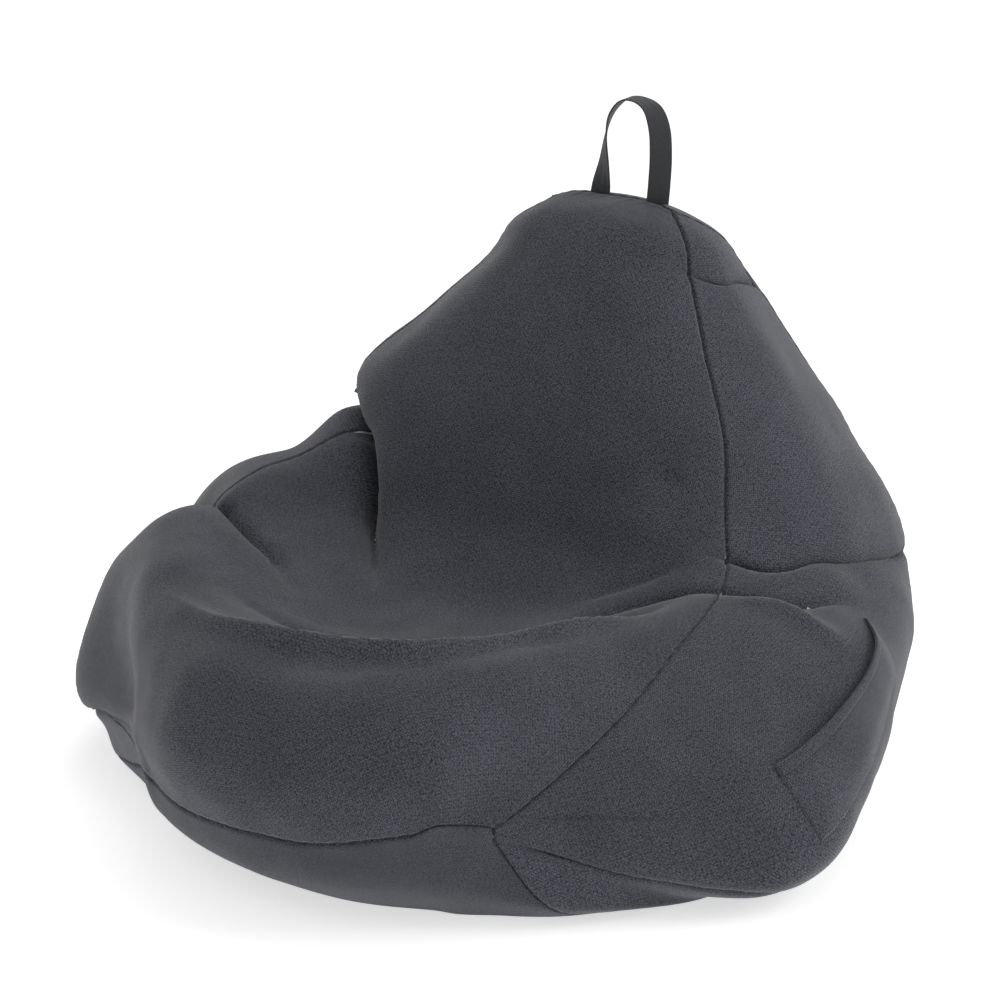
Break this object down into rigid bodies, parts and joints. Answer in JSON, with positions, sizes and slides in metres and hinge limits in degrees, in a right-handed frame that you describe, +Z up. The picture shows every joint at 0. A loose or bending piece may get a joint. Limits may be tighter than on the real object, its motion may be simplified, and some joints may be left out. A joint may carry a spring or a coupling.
{
  "type": "bean bag chair",
  "caption": "Free-standing bean bag chair with a high back, a hollowed seat, a webbing carry handle at its crown, a side pocket, a zipped rear cover and a zipped inner liner of beads.",
  "frame": {"origin": "on the floor, under the middle of the chair's box", "axes": "+Z up; the sitter faces -Y, so the back is at +Y; +X is the sitter's left, where the pocket is"},
  "size_m": [0.9665, 0.9393, 0.703],
  "materials": {
    "cover_cloth": "heathered charcoal upholstery cloth, matt with a soft nap",
    "base_cloth": "the same charcoal cloth, on the underside",
    "webbing": "25 mm woven webbing, twill",
    "zip_tape": "fine woven tape",
    "zip_coil": "moulded nylon coil",
    "zip_metal": "dark lacquered die-cast metal",
    "liner_cloth": "thin white polyester",
    "beads": "expanded polystyrene beads"
  },
  "bodies": {
    "sack": {"front_panel": "cover_cloth", "side_panel_left": "cover_cloth", "side_panel_right": "cover_cloth", "rear_panel": "cover_cloth", "rear_lower_panel": "cover_cloth", "base_panel": "base_cloth", "side_pocket": "cover_cloth", "pocket_hem": "cover_cloth", "handle_anchor_patch": "webbing", "zip_tape_upper": "zip_tape", "zip_tape_lower": "zip_tape", "zip_coil_upper": "zip_coil", "zip_coil_lower": "zip_coil", "zip_closed_end_stop": "zip_metal", "zip_open_end_stop": "zip_metal", "inner_liner": "liner_cloth", "liner_zip_tape_front": "zip_tape", "liner_zip_tape_rear": "zip_tape", "liner_zip_coil_front": "zip_coil", "liner_zip_coil_rear": "zip_coil", "bean_fill": "beads"},
    "handle": {"carry_handle": "webbing"},
    "slider": {"zip_slider": "zip_metal"},
    "pull": {"zip_pull": "zip_metal"},
    "liner_slider": {"liner_zip_slider": "zip_metal"}
  },
  "joints": [
    {"name": "handle_flop", "type": "hinge", "parent": "sack", "child": "handle", "pos_m": [-0.012, 0.285, 0.5918], "axis": [1, 0, 0], "range_deg": [-80, 80]},
    {"name": "cover_zip_run", "type": "hinge", "parent": "sack", "child": "slider", "pos_m": [-0.0441, -0.347, 0.095], "axis": [0, 0, 1], "range_deg": [0, 29]},
    {"name": "pull_swing", "type": "hinge", "parent": "slider", "child": "pull", "pos_m": [0.1653, 0.4346, 0.095], "axis": [0, 0, 1], "range_deg": [0, 150]},
    {"name": "liner_zip_run", "type": "slide", "parent": "sack", "child": "liner_slider", "axis": [1, 0, 0], "range_m": [0, 0.27]}
  ]
}
